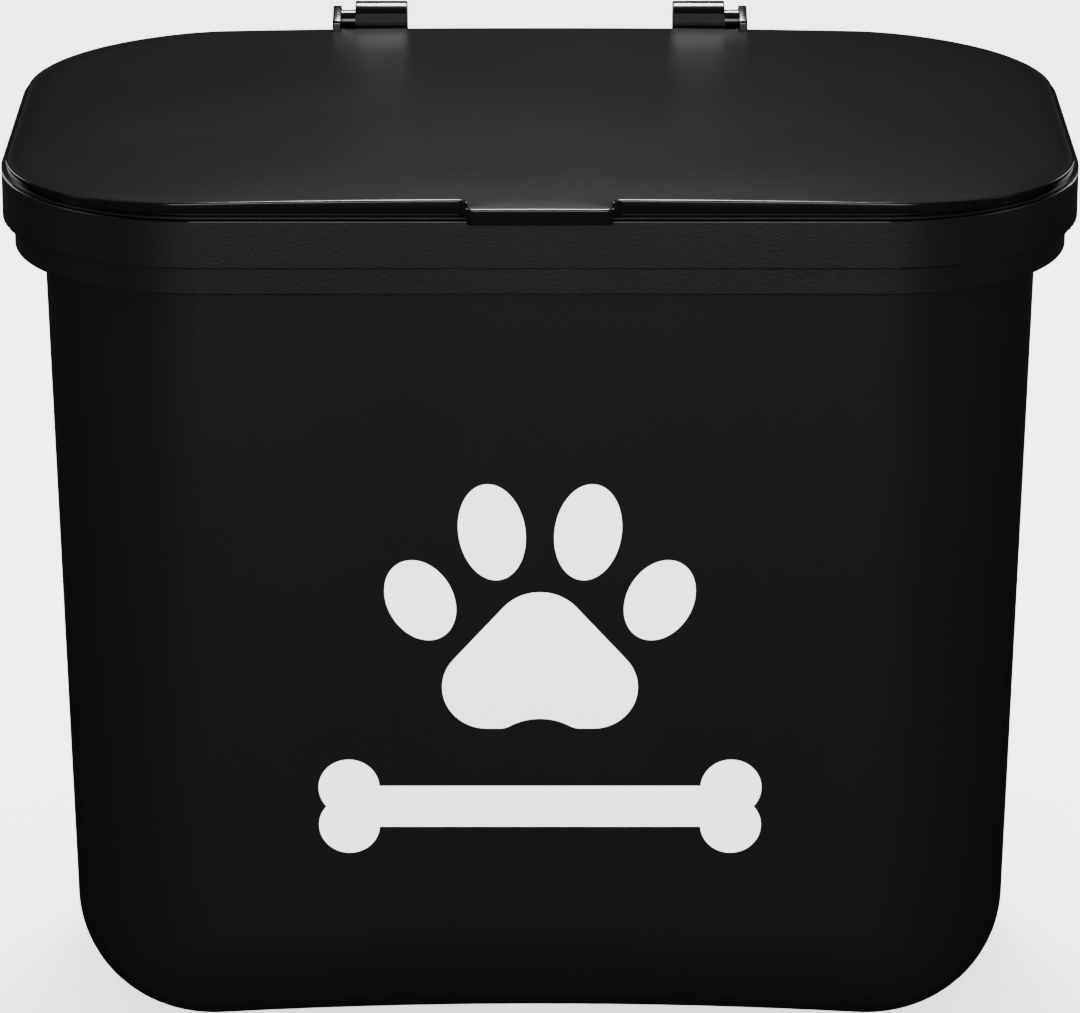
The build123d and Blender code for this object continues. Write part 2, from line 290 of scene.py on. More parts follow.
@dataclass(frozen=True)
class Elastomer:
    """Soft moulded elastomer: dark, nearly without shine, with a fine talc-like mottle."""

    name: str
    colour: str = "2B2C2E"
    roughness: float = 0.62
    mottle_mm: float = 1.4  # drawn coarser than the real one so that it shows
    relief_mm: float = 0.05

    def make(self) -> bpy.types.Material:
        """Build the material.

        Returns:
            The finished material.
        """
        material, tree = blank_material(self.name)
        place = add_node(tree, "ShaderNodeTexCoord").outputs["Object"]
        mottle = add_node(
            tree,
            "ShaderNodeTexNoise",
            {"Scale": 1 / (self.mottle_mm * MM), "Detail": 4.0},
            {"Vector": place},
        )
        tint = add_node(
            tree,
            "ShaderNodeMix",
            {"data_type": "RGBA", 6: linear(self.colour, 0.75), 7: linear(self.colour, 1.3)},
            {0: mottle.outputs["Fac"]},
        )
        bump = add_node(
            tree,
            "ShaderNodeBump",
            {"Strength": 0.3, "Distance": self.relief_mm * MM},
            {"Height": mottle.outputs["Fac"]},
        )
        close_material(
            tree,
            {"IOR": 1.5, "Roughness": self.roughness},
            {"Base Color": tint.outputs[2], "Normal": bump.outputs["Normal"]},
        )
        return material


@dataclass(frozen=True)
class CarbonFoam:
    """Open-cell foam loaded with carbon: matt black walls round pits, whose darkness is painted shade."""

    name: str
    colour: str = "1D1D1E"
    cell_mm: float = 1.3
    relief_mm: float = 0.5

    def make(self) -> bpy.types.Material:
        """Build the material.

        Returns:
            The finished material.
        """
        material, tree = blank_material(self.name)
        place = add_node(tree, "ShaderNodeTexCoord").outputs["Object"]
        cells = add_node(
            tree,
            "ShaderNodeTexVoronoi",
            {"feature": "DISTANCE_TO_EDGE", "Scale": 1 / (self.cell_mm * MM)},
            {"Vector": place},
        )
        wall = add_node(
            tree,
            "ShaderNodeMapRange",
            {"From Min": 0.0, "From Max": 0.25, "To Min": 1.0, "To Max": 0.0},
            {"Value": cells.outputs["Distance"]},
        ).outputs["Result"]
        # Painted shade: the colour darkens towards each cell's sunken middle, where the walls would shade
        # the pit, and is lighter on the walls.
        tint = add_node(
            tree,
            "ShaderNodeMix",
            {"data_type": "RGBA", 6: linear(self.colour, 0.2), 7: linear(self.colour, 1.6)},
            {0: wall},
        )
        bump = add_node(
            tree,
            "ShaderNodeBump",
            {"Strength": 0.9, "Distance": self.relief_mm * MM},
            {"Height": wall},
        )
        close_material(
            tree,
            {"Roughness": 0.9, "Specular IOR Level": 0.3},
            {"Base Color": tint.outputs[2], "Normal": bump.outputs["Normal"]},
        )
        return material


@dataclass(frozen=True)
class ScreenPrint:
    """White ink screened onto textured plastic: even, satin, with the grain just showing through."""

    name: str
    colour: str = "FBFBFA"
    roughness: float = 0.5
    grain_mm: float = 0.9  # the plastic's grain under the ink, drawn coarser so that it shows
    relief_mm: float = 0.1

    def make(self) -> bpy.types.Material:
        """Build the material.

        Returns:
            The finished material.
        """
        material, tree = blank_material(self.name)
        place = add_node(tree, "ShaderNodeTexCoord").outputs["Object"]
        grain = add_node(
            tree,
            "ShaderNodeTexNoise",
            {"Scale": 1 / (self.grain_mm * MM), "Detail": 2.0},
            {"Vector": place},
        )
        tint = add_node(
            tree,
            "ShaderNodeMix",
            {"data_type": "RGBA", 6: linear(self.colour, 0.96), 7: linear(self.colour)},
            {0: grain.outputs["Fac"]},
        )
        bump = add_node(
            tree,
            "ShaderNodeBump",
            {"Strength": 0.08, "Distance": self.relief_mm * MM},
            {"Height": grain.outputs["Fac"]},
        )
        close_material(
            tree,
            {"IOR": 1.5, "Roughness": self.roughness},
            {"Base Color": tint.outputs[2], "Normal": bump.outputs["Normal"]},
        )
        return material


# ---------------------------------------------------------------- mesh helpers


@dataclass(frozen=True)
class Places:
    """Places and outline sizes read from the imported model, in metres."""

    half_x: float
    half_y: float
    centre_y: float
    part_z: float
    axis: Vector

    @classmethod
    def read(cls) -> "Places":
        """Work the places out from the boxes of ring, seal, hinge pins and filter cage.

        Returns:
            The places.
        """
        ring_low, ring_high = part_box("bag_ring")
        seal_low, seal_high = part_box("lid_seal")
        pin_low, pin_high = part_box("hinge_pin_left")
        cage_low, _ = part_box("filter_cage")
        centre_y = (seal_low[1] + seal_high[1]) / 2
        axis = Vector((0.0, (pin_low[1] + pin_high[1]) / 2, (pin_low[2] + pin_high[2]) / 2))
        return cls(
            half_x=(ring_high[0] - ring_low[0]) / 2,
            half_y=centre_y - ring_low[1],
            centre_y=centre_y,
            part_z=cage_low[2] + CAGE_UNDER_PARTING * MM,
            axis=axis,
        )

    @property
    def front_y(self) -> float:
        """Give the front edge of lid and ring, in metres."""
        return self.centre_y - self.half_y


def unit(degrees: float) -> Point:
    """Give the direction at an angle, as a point one away from the origin."""
    return math.cos(math.radians(degrees)), math.sin(math.radians(degrees))


def round_off(points: Sequence[Point], radii: Sequence[float], steps: int = 6) -> list[Point]:
    """Replace the corners of a closed outline by arcs.

    Args:
        points: Corners in order.
        radii: One radius for each corner; zero keeps it sharp.
        steps: Segments in each arc.

    Returns:
        The outline with its arcs.
    """
    made: list[Point] = []
    count = len(points)
    for index, radius in enumerate(radii):
        here = Vector(points[index])
        to_last = (Vector(points[index - 1]) - here).normalized()
        to_next = (Vector(points[(index + 1) % count]) - here).normalized()
        if radius <= 0:
            made.append(tuple(here))
            continue
        half = to_last.angle(to_next) / 2
        centre = here + (to_last + to_next).normalized() * (radius / math.sin(half))
        start = here + to_last * (radius / math.tan(half)) - centre
        end = here + to_next * (radius / math.tan(half)) - centre
        turn = start.angle_signed(end)
        for step in range(steps + 1):
            angle = -turn * step / steps
            made.append(
                (
                    centre.x + start.x * math.cos(angle) - start.y * math.sin(angle),
                    centre.y + start.x * math.sin(angle) + start.y * math.cos(angle),
                )
            )
    return made


def object_from(
    name: str, mesh: bpy.types.Mesh, materials: Iterable[bpy.types.Material]
) -> bpy.types.Object:
    """Link a mesh as a smooth-shaded object with crisp creases.

    Args:
        name: The piece's name.
        mesh: Its mesh, in metres in the model's frame.
        materials: Materials in the order of the faces' material numbers.

    Returns:
        The object.
    """
    for material in materials:
        mesh.materials.append(material)
    mesh.polygons.foreach_set("use_smooth", [True] * len(mesh.polygons))
    mesh.set_sharp_from_angle(angle=math.radians(CREASE_DEGREES))
    piece = bpy.data.objects.new(name, mesh)
    bpy.context.scene.collection.objects.link(piece)
    return piece


def plate(
    name: str,
    outlines: Sequence[Sequence[Point]],
    thickness: float,
    edge: float,
    turn: Matrix,
    materials: Iterable[bpy.types.Material],
) -> bpy.types.Object:
    """Make a flat plate with rounded edges from an outline and its holes.

    Args:
        name: The piece's name.
        outlines: Outer outline first, then holes, in millimetres.
        thickness: Plate thickness in millimetres.
        edge: Radius of the rounded edges in millimetres.
        turn: Placement of the plate's middle plane, in metres.
        materials: Materials of the piece.

    Returns:
        The plate.
    """
    curve = bpy.data.curves.new(name, "CURVE")
    curve.dimensions = "2D"
    curve.fill_mode = "BOTH"
    curve.extrude = thickness / 2 - edge
    curve.bevel_depth = edge
    curve.bevel_resolution = 2
    curve.offset = -edge
    for outline in outlines:
        spline = curve.splines.new("POLY")
        spline.points.add(len(outline) - 1)
        for point, (u, v) in zip(spline.points, outline):
            point.co = (u, v, 0.0, 1.0)
        spline.use_cyclic_u = True
    holder = bpy.data.objects.new(name, curve)
    bpy.context.scene.collection.objects.link(holder)
    graph = bpy.context.evaluated_depsgraph_get()
    mesh = bpy.data.meshes.new_from_object(holder.evaluated_get(graph))
    bpy.data.objects.remove(holder)
    bpy.data.curves.remove(curve)
    form = bmesh.new()
    form.from_mesh(mesh)
    # The curve is in millimetres, so this joins only points that are meant to be one.
    bmesh.ops.remove_doubles(form, verts=form.verts, dist=1e-4)
    bmesh.ops.recalc_face_normals(form, faces=form.faces)
    form.to_mesh(mesh)
    form.free()
    mesh.transform(turn @ Matrix.Scale(MM, 4))
    return object_from(name, mesh, materials)


@dataclass(frozen=True)
class Row:
    """One line round the lid's outline.

    ``inset`` is measured inwards from the shared outline and ``height`` up from the parting line. ``sag``
    lowers the row round the corners and sides, but not along the straight front and rear, and ``roll``
    lowers it everywhere but along the rear. ``arch`` is how far the row follows the lid's crown, from 0 to
    1. ``tabbed`` rows run round the thumb tab. ``finish`` numbers the material of the faces up to the next
    row.
    """

    inset: float
    height: float
    arch: float = 1.0
    tabbed: bool = False
    finish: int = 0
    sag: float = 0.0
    roll: float = 0.0


@dataclass
class Outline:
    """Plan outline shared by lid and ring, with the lid's thumb tab in front."""

    places: Places
    corner: float = 47.5
    crown_drop: float = 2.0  # how far the arched lid falls at its left and right ends
    tab_reach: float = 6.3
    tab_half: float = 16.65
    tab_root_radius: float = 2.0
    tab_corner_radius: float = 1.5
    tab_slope: float = 0.02
    wall_inset: float = 1.1
    sag_turn: float = 0.6  # sideways part of the normal at which a row's sag is full
    corner_steps: int = 28
    side_steps: int = 14
    end_steps: int = 16
    tab_steps: int = 40

    def __post_init__(self) -> None:
        """Sample the outline and the tab once."""
        self.half_x = self.places.half_x / MM
        self.half_y = self.places.half_y / MM
        self.flare = self.tab_half + self.tab_root_radius
        self.samples = self._samples()
        self.tab = self._tab()
        self.tab_start = self.side_steps

    def _samples(self) -> list[tuple[Point, Point]]:
        """Sample the outline, anticlockwise from the front's left end.

        Returns:
            Points with their outward normals.
        """
        reach_x = self.half_x - self.corner
        reach_y = self.half_y - self.corner
        made: list[tuple[Point, Point]] = []
        for start, end, steps in (
            (-reach_x, -self.flare, self.side_steps),
            (-self.flare, self.flare, self.tab_steps),
            (self.flare, reach_x, self.side_steps),
        ):
            made += [((start + (end - start) * i / steps, -self.half_y), (0.0, -1.0)) for i in range(steps)]
        quarters = ((reach_x, -reach_y), (reach_x, reach_y), (-reach_x, reach_y), (-reach_x, -reach_y))
        for quarter, (x, y) in enumerate(quarters):
            first = math.radians(90 * quarter - 90)
            for step in range(self.corner_steps + 1):
                angle = first + math.radians(90) * step / self.corner_steps
                normal = (math.cos(angle), math.sin(angle))
                made.append(((x + self.corner * normal[0], y + self.corner * normal[1]), normal))
            if quarter == 3:
                made.pop()
                break
            # The rear side has as many samples as the front with its tab.
            steps = self.end_steps if quarter != 1 else 2 * self.side_steps + self.tab_steps
            (from_x, from_y), normal = made[-1]
            next_x, next_y = quarters[quarter + 1]
            to_x = next_x + self.corner * normal[0]
            to_y = next_y + self.corner * normal[1]
            for step in range(1, steps):
                part = step / steps
                made.append(((from_x + (to_x - from_x) * part, from_y + (to_y - from_y) * part), normal))
        return made

    def _tab(self) -> list[tuple[Point, Point]]:
        """Sample the tab for rows at the lid wall's inset.

        Returns:
            Points with their outward normals, evenly spaced along each leg.
        """
        root = -self.half_y + self.wall_inset
        front = -self.half_y - self.tab_reach
        bend = self.tab_root_radius
        nose = self.tab_corner_radius
        half = self.tab_half
        legs: list[Callable[[float], tuple[Point, Point]]] = []

        def arc(cx: float, cy: float, radius: float, start: float, sweep: float, sign: float) -> None:
            """Add a round leg.

            Args:
                cx: Centre across.
                cy: Centre along.
                radius: Radius.
                start: First angle in degrees.
                sweep: Turn in degrees.
                sign: 1 for normals away from the centre, -1 towards it.
            """

            def at(part: float) -> tuple[Point, Point]:
                """Give the point and the normal at a part of the leg, from 0 to 1."""
                nx, ny = unit(start + sweep * part)
                return (cx + radius * nx, cy + radius * ny), (sign * nx, sign * ny)

            legs.append(at)

        def line(start: Point, end: Point, normal: Point) -> None:
            """Add a straight leg.

            Args:
                start: Its first point.
                end: Its last point.
                normal: Its outward normal.
            """

            def at(part: float) -> tuple[Point, Point]:
                """Give the point and the normal at a part of the leg, from 0 to 1."""
                return (start[0] + (end[0] - start[0]) * part, start[1] + (end[1] - start[1]) * part), normal

            legs.append(at)

        arc(-half - bend, root - bend, bend, 90, -90, -1)
        line((-half, root - bend), (-half, front + nose), (-1.0, 0.0))
        arc(-half + nose, front + nose, nose, 180, 90, 1)
        line((-half + nose, front), (half - nose, front), (0.0, -1.0))
        arc(half - nose, front + nose, nose, -90, 90, 1)
        line((half, front + nose), (half, root - bend), (1.0, 0.0))
        arc(half + bend, root - bend, bend, 180, -90, -1)
        # Half of the samples go to the short root and nose arcs, so that they stay round. The shares add up
        # to tab_steps.
        shares = (5, 4, 5, 12, 5, 4, 5)
        made: list[tuple[Point, Point]] = []
        for at, share in zip(legs, shares):
            made += [at(step / share) for step in range(share)]
        return made

    def row(self, row: Row) -> list[Vector]:
        """Place one row.

        Args:
            row: The row.

        Returns:
            Its points, in metres in the model's frame.
        """
        made = []
        for index, (point, normal) in enumerate(self.samples):
            inset = row.inset
            turned = min(abs(normal[0]) / self.sag_turn, 1.0)
            drop = row.sag * turned * turned * (3 - 2 * turned) + row.roll * (1 - max(normal[1], 0.0))
            within = self.tab_start <= index < self.tab_start + self.tab_steps
            if row.tabbed and within:
                point, normal = self.tab[index - self.tab_start]
                inset = row.inset - self.wall_inset
                drop = row.roll + self.tab_slope * max(self.wall_inset - self.half_y - point[1], 0.0)
            x = point[0] - normal[0] * inset
            y = point[1] - normal[1] * inset
            made.append(self.place(x, y, row) - Vector((0.0, 0.0, drop * MM)))
        return made

    def place(self, x: float, y: float, row: Row) -> Vector:
        """Lift a plan point onto a row's height and crown.

        Args:
            x: Place across, in millimetres.
            y: Place along from the outline's middle, in millimetres.
            row: The row.

        Returns:
            The point, in metres in the model's frame.
        """
        fall = self.crown_drop * (x / self.half_x) ** 2 * row.arch
        height = self.places.part_z + (row.height - fall) * MM
        return Vector((x * MM, self.places.centre_y + y * MM, height))

    def shrink(self, row: Row, scale: float) -> list[Vector]:
        """Draw a row in towards the middle, still on its crown.

        Args:
            row: The row.
            scale: Its new size as a share of the old.

        Returns:
            Its points, in metres in the model's frame.
        """
        made = []
        for point in self.row(row):
            x = point.x / MM * scale
            y = (point.y - self.places.centre_y) / MM * scale
            made.append(self.place(x, y, row))
        return made


class Skin:
    """A mesh that is stretched over rows of equal length."""

    def __init__(self) -> None:
        """Start empty."""
        self.form = bmesh.new()
        self.last: list[bmesh.types.BMVert] = []

    def add(self, points: Sequence[Vector], finish: int = 0) -> None:
        """Add a row and join it to the last one.

        Args:
            points: The row's points.
            finish: Material number of the new faces.
        """
        ring = [self.form.verts.new(point) for point in points]
        if self.last:
            count = len(ring)
            for index in range(count):
                after = (index + 1) % count
                face = self.form.faces.new((self.last[index], ring[index], ring[after], self.last[after]))
                face.material_index = finish
        self.last = ring

    def close(self, centre: Vector, finish: int = 0) -> None:
        """Close the last row with a fan round a centre point.

        Args:
            centre: The centre point.
            finish: Material number of the new faces.
        """
        hub = self.form.verts.new(centre)
        for index in range(len(self.last)):
            face = self.form.faces.new((self.last[index], hub, self.last[(index + 1) % len(self.last)]))
            face.material_index = finish

    def mesh(self, name: str) -> bpy.types.Mesh:
        """Finish the mesh, with its faces turned outwards.

        Args:
            name: The mesh's name.

        Returns:
            The mesh.
        """
        bmesh.ops.remove_doubles(self.form, verts=self.form.verts, dist=WELD)
        bmesh.ops.recalc_face_normals(self.form, faces=self.form.faces)
        made = bpy.data.meshes.new(name)
        self.form.to_mesh(made)
        self.form.free()
        return made


# ---------------------------------------------------------------- the bin's own pieces


@dataclass
class Lid:
    """Arched lid with its thumb tab, lip, plug wall, seal rib, filter frame and hinge ears."""

    outline: Outline
    textured: bpy.types.Material
    polished: bpy.types.Material
    top: float = 4.7  # heights are above the parting line, unless they are called drops
    roll: float = 26.0  # inset at which the top starts to fall towards the edge
    roll_drop: float = 0.34
    roll_steps: int = 16
    shoulder: float = 6.5  # inset at which the corners start to fall further
    shoulder_drop: float = 0.4
    edge: float = 0.45
    edge_steps: int = 6
    wall: float = 1.9
    groove: float = 0.2  # fine groove at the foot of the wall
    groove_rise: float = 0.3
    lip: float = 0.45
    lip_round: float = 0.15
    lip_chord: float = 0.04
    lip_break: float = 0.08
    skin: float = 2.2
    rings: tuple[float, ...] = (0.12, 0.3, 0.5, 0.68, 0.82, 0.93)  # shares of the flat's size
    rib_inset: float = 8.9
    rib: float = 1.2
    rib_up: float = 0.5
    rib_round: float = 0.25
    plug_inset: float = 15.0
    plug_wall: float = 1.6
    plug_drop: float = 8.0
    plug_round: float = 0.5
    root: float = 0.2  # how far frame and stiffeners reach into the skin
    ear_in: float = 50.0
    ear_out: float = 52.1
    ear_radius: float = 3.55
    ear_front: float = 8.2
    ear_height: float = 2.4
    ear_root: float = 1.0
    ear_brow_round: float = 0.9
    ear_heel: float = 1.6
    ear_heel_up: float = 1.4
    ear_heel_round: float = 0.3
    ear_throat: float = 1.8
    ear_wrap: float = -105.0  # angle at which the eye's round ends below, in degrees
    ear_bevel: float = 0.25
    over_steps: int = 14  # segments of the eye's round above and below the nib
    under_steps: int = 10
    hole_steps: int = 40
    pin_radius: float = 2.5
    nib_reach: float = 6.0
    nib_wall: float = 2.2
    nib_lean: float = 15.0
    nib_round: float = 0.5
    frame_x: float = 93.0
    frame_y: float = 69.0
    frame_corner: float = 7.0
    frame_wall: float = 1.6
    frame_drop: float = 4.0
    frame_bevel: float = 0.3
    stiffener: float = 1.4
    stiffener_drop: float = 1.5
    stiffener_gap: float = 2.4  # from the filter frame
    stiffener_reach: float = 0.4  # into the plug wall
    stiffener_round: float = 0.6
    stiffener_bevel: float = 0.25
    stiffeners_x: tuple[float, ...] = (-34.0, 0.0, 34.0)
    stiffeners_y: tuple[float, ...] = (-22.0, 0.0, 22.0)

    def top_rows(self) -> list[Row]:
        """List the rows from the flat top over the soft shoulder and the polished edge, down to the lip.

        Returns:
            The rows, from the middle outwards and down.
        """
        start = self.outline.wall_inset + self.edge
        rows = []
        for step in range(self.roll_steps + 1):
            inset = self.roll + (start - self.roll) * step / self.roll_steps
            rolled = (self.roll - inset) / (self.roll - start)
            bent = max(self.shoulder - inset, 0.0) / (self.shoulder - start)
            roll = self.roll_drop * rolled**2
            rows.append(Row(inset, self.top, sag=self.shoulder_drop * bent**2, roll=roll))
        for step in range(self.edge_steps + 1):
            angle = math.radians(90 * step / self.edge_steps)
            inset = start - self.edge * math.sin(angle)
            height = self.top - self.edge * (1 - math.cos(angle))
            sag = self.shoulder_drop * (1 - step / self.edge_steps)
            rows.append(Row(inset, height, tabbed=True, finish=1, sag=sag, roll=self.roll_drop))
        wall = self.outline.wall_inset
        mouth = wall + self.groove / 4
        low = self.lip + self.groove_rise
        deepest = low - self.groove_rise * 2 / 3
        rows += [
            # the groove at the wall's foot
            Row(wall, low, arch=0.0, tabbed=True, finish=1),
            Row(mouth, low - self.groove_rise / 2, arch=0.0, tabbed=True, finish=1),
            Row(wall + self.groove, deepest, arch=0.0, tabbed=True, finish=1),
            Row(mouth, self.lip, arch=0.0),
            # the lip, its rounded brim and its foot
            Row(self.lip_round, self.lip, arch=0.0),
            Row(self.lip_chord, self.lip - self.lip_chord, arch=0.0),
            Row(0.0, self.lip - self.lip_round, arch=0.0),
            Row(0.0, self.lip_break, arch=0.0),
            Row(self.lip_break, 0.0, arch=0.0, finish=1),
        ]
        return rows

    def under_rows(self) -> list[Row]:
        """List the rows across the underside, from the lip in past the plug wall.

        The small steps in the profile are the mould's rounds and draft.

        Returns:
            The rows, from the outside inwards.
        """
        inner = self.outline.wall_inset + self.wall
        under = self.top - self.skin
        rib, rib_end = self.rib_inset, self.rib_inset + self.rib
        plug, core = self.plug_inset, self.plug_inset + self.plug_wall
        low = -self.plug_drop
        profile = [
            # inside of the outer wall, and the first bay
            (inner, 0.0, 0.0),
            (inner + 0.1, under - 0.4, 1.0),
            (inner + 0.5, under, 1.0),
            (rib - 0.4, under, 1.0),
            # seal rib
            (rib, under - 0.05, 1.0),
            (rib + 0.05, self.rib_up + 0.2, 0.0),
            (rib + self.rib_round, self.rib_up, 0.0),
            (rib_end - self.rib_round, self.rib_up, 0.0),
            (rib_end - 0.05, self.rib_up + 0.2, 0.0),
            (rib_end, under, 1.0),
            # plug wall with its rounded foot, and the fillet behind it
            (plug, under, 1.0),
            (plug + 0.02, low + self.plug_round, 0.0),
            (plug + 0.2, low + 0.1, 0.0),
            (plug + self.plug_round, low, 0.0),
            (core - 0.4, low, 0.0),
            (core - 0.1, low + 0.2, 0.0),
            (core, low + self.plug_round, 0.0),
            (core, under - 0.6, 1.0),
            (core + 0.2, under - 0.15, 1.0),
            (core + 0.7, under, 1.0),
        ]
        return [Row(inset, height, arch, finish=1) for inset, height, arch in profile]

    def shell(self) -> bpy.types.Object:
        """Stretch the lid's skin.

        Returns:
            The lid without its ears, frame and stiffeners.
        """
        skin = Skin()
        rows = self.top_rows()
        under = self.under_rows()
        skin.add(self.outline.shrink(rows[0], self.rings[0]))
        skin.close(self.outline.place(0, 0, rows[0]))
        for scale in self.rings[1:]:
            skin.add(self.outline.shrink(rows[0], scale))
        finish = 0
        for row in rows + under:
            skin.add(self.outline.row(row), finish)
            finish = row.finish
        for scale in reversed(self.rings):
            skin.add(self.outline.shrink(under[-1], scale), finish)
        skin.close(self.outline.place(0, 0, under[-1]), finish)
        return object_from("lid_shell", skin.mesh("lid_shell"), (self.textured, self.polished))

    def ear(self, side: int) -> bpy.types.Object:
        """Make one hinge ear.

        Args:
            side: -1 for the left ear, 1 for the right.

        Returns:
            The ear.
        """
        places = self.outline.places
        axis_up = (places.axis.z - places.part_z) / MM
        middle = side * (self.ear_in + self.ear_out) / 2
        lid_top = self.top - axis_up - self.outline.crown_drop * (middle / self.outline.half_x) ** 2
        brow = (-self.ear_front, lid_top + self.ear_height)
        foot = (-self.ear_front, lid_top - self.ear_root)
        heel = (-self.ear_front + self.ear_heel, self.ear_heel_up - axis_up)
        radius = self.ear_radius

        def on_eye(degrees: float, reach: float = radius) -> Point:
            """Give a point round the eye, rearwards and up from the hinge axis."""
            across, up = unit(degrees)
            return (reach * across, reach * up)

        lean = math.radians(self.nib_lean)
        drop = (self.nib_wall * math.sin(lean), -self.nib_wall * math.cos(lean))
        tip = on_eye(self.nib_lean, self.nib_reach)
        low_tip = (tip[0] + drop[0], tip[1] + drop[1])
        under_nib = self.nib_lean - math.degrees(math.asin(self.nib_wall / radius))
        away = math.hypot(*brow)
        tangent = math.degrees(math.atan2(brow[1], brow[0]) - math.acos(radius / away))
        over, under = self.over_steps, self.under_steps
        arc_top = [on_eye(tangent + (self.nib_lean - tangent) * i / over) for i in range(over + 1)]
        arc_low = [on_eye(under_nib + (self.ear_wrap - under_nib) * i / under) for i in range(under + 1)]
        corners = [brow, *arc_top, tip, low_tip, *arc_low, (-self.ear_throat, heel[1]), heel, foot]
        radii = [self.ear_brow_round] + [0.0] * len(arc_top) + [self.nib_round] * 2
        radii += [0.0] * len(arc_low) + [0.0, self.ear_heel_round, 0.0]
        hole = [on_eye(360 * i / self.hole_steps, self.pin_radius) for i in range(self.hole_steps)]
        turn = Matrix(
            (
                (0.0, 0.0, 1.0, middle * MM),
                (1.0, 0.0, 0.0, places.axis.y),
                (0.0, 1.0, 0.0, places.axis.z),
                (0.0, 0.0, 0.0, 1.0),
            )
        )
        name = "lid_ear_left" if side < 0 else "lid_ear_right"
        outlines = (round_off(corners, radii), hole)
        return plate(name, outlines, self.ear_out - self.ear_in, self.ear_bevel, turn, (self.polished,))

    def frame(self) -> bpy.types.Object:
        """Make the upright frame that the filter cage pushes onto.

        Returns:
            The frame.
        """
        half_x, half_y = self.frame_x / 2, self.frame_y / 2

        def rectangle(inset: float) -> list[Point]:
            """Give the frame's outline.

            Args:
                inset: How far in it lies from the outer face.

            Returns:
                Its points.
            """
            x, y = half_x - inset, half_y - inset
            radius = self.frame_corner - inset
            return round_off([(-x, -y), (x, -y), (x, y), (-x, y)], [radius] * 4, 8)

        top = self.top - self.skin + self.root
        depth = top + self.frame_drop
        places = self.outline.places
        lift = places.part_z + (top - depth / 2) * MM
        turn = Matrix.Translation((0.0, places.centre_y, lift))
        outlines = (rectangle(0.0), rectangle(self.frame_wall))
        return plate("lid_filter_frame", outlines, depth, self.frame_bevel, turn, (self.polished,))

    def ribs(self) -> list[bpy.types.Object]:
        """Make the low stiffeners between the filter frame and the plug wall.

        Returns:
            The stiffeners.
        """
        places = self.outline.places
        low, high = -self.stiffener_drop, self.top - self.skin + self.root
        reach_x = self.outline.half_x - self.plug_inset - self.plug_wall + self.stiffener_reach
        reach_y = self.outline.half_y - self.plug_inset - self.plug_wall + self.stiffener_reach
        start_x, start_y = self.frame_x / 2 + self.stiffener_gap, self.frame_y / 2 + self.stiffener_gap
        spans: list[tuple[Point, Point]] = []
        for side in (-1, 1):
            spans += [((side * start_x, y), (side * reach_x, y)) for y in self.stiffeners_y]
            spans += [((x, side * start_y), (x, side * reach_y)) for x in self.stiffeners_x]
        lift = places.part_z + (low + high) / 2 * MM
        upright = Matrix.Rotation(math.pi / 2, 4, "X")
        corner = self.stiffener_round
        made = []
        for number, (start, end) in enumerate(spans, 1):
            along = Vector((end[0] - start[0], end[1] - start[1], 0.0))
            middle = ((start[0] + end[0]) / 2 * MM, places.centre_y + (start[1] + end[1]) / 2 * MM)
            turn = Matrix.Translation((middle[0], middle[1], lift))
            turn @= Matrix.Rotation(math.atan2(along.y, along.x), 4, "Z") @ upright
            half, rise = along.length / 2, (high - low) / 2
            corners = [(-half, -rise), (half, -rise), (half, rise), (-half, rise)]
            outline = round_off(corners, [corner, corner, 0, 0], 4)
            name = f"lid_rib_{number}"
            bevel = self.stiffener_bevel
            made.append(plate(name, (outline,), self.stiffener, bevel, turn, (self.polished,)))
        return made

    def build(self) -> list[bpy.types.Object]:
        """Build every piece of the lid and hang it on the lid's body.

        Returns:
            The pieces.
        """
        shell = self.shell()
        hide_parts("lid")
        pieces = [shell, self.ear(-1), self.ear(1), self.frame(), *self.ribs()]
        for piece in pieces:
            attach(piece, "lid")
        return pieces


@dataclass
class Seal:
    """Soft gasket with a rounded crest, held between the seal rib and the plug wall."""

    outline: Outline
    elastomer: bpy.types.Material
    outer: float = 10.3
    width: float = 3.2
    top: float = 2.45
    crest_steps: int = 12

    def build(self) -> list[bpy.types.Object]:
        """Build the gasket and hang it on the lid's body.

        Returns:
            The gasket, in a list.
        """
        skin = Skin()
        middle = self.outer + self.width / 2
        half = self.width / 2
        profile = [(self.outer, self.top), (self.outer, half)]
        for step in range(1, self.crest_steps):
            angle = math.pi * step / self.crest_steps
            profile.append((middle - half * math.cos(angle), half * (1 - math.sin(angle))))
        profile += [(self.outer + self.width, half), (self.outer + self.width, self.top)]
        for inset, height in profile:
            # The crest lies flat on the ring, and the gasket gets thinner where the crown comes down.
            skin.add(self.outline.row(Row(inset, height, arch=height / self.top)))
        first = list(skin.form.verts)[: len(skin.last)]
        count = len(first)
        for index in range(count):
            after = (index + 1) % count
            skin.form.faces.new((skin.last[index], first[index], first[after], skin.last[after]))
        piece = object_from("lid_seal_crested", skin.mesh("lid_seal_crested"), (self.elastomer,))
        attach(piece, "lid")
        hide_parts("lid_seal")
        return [piece]


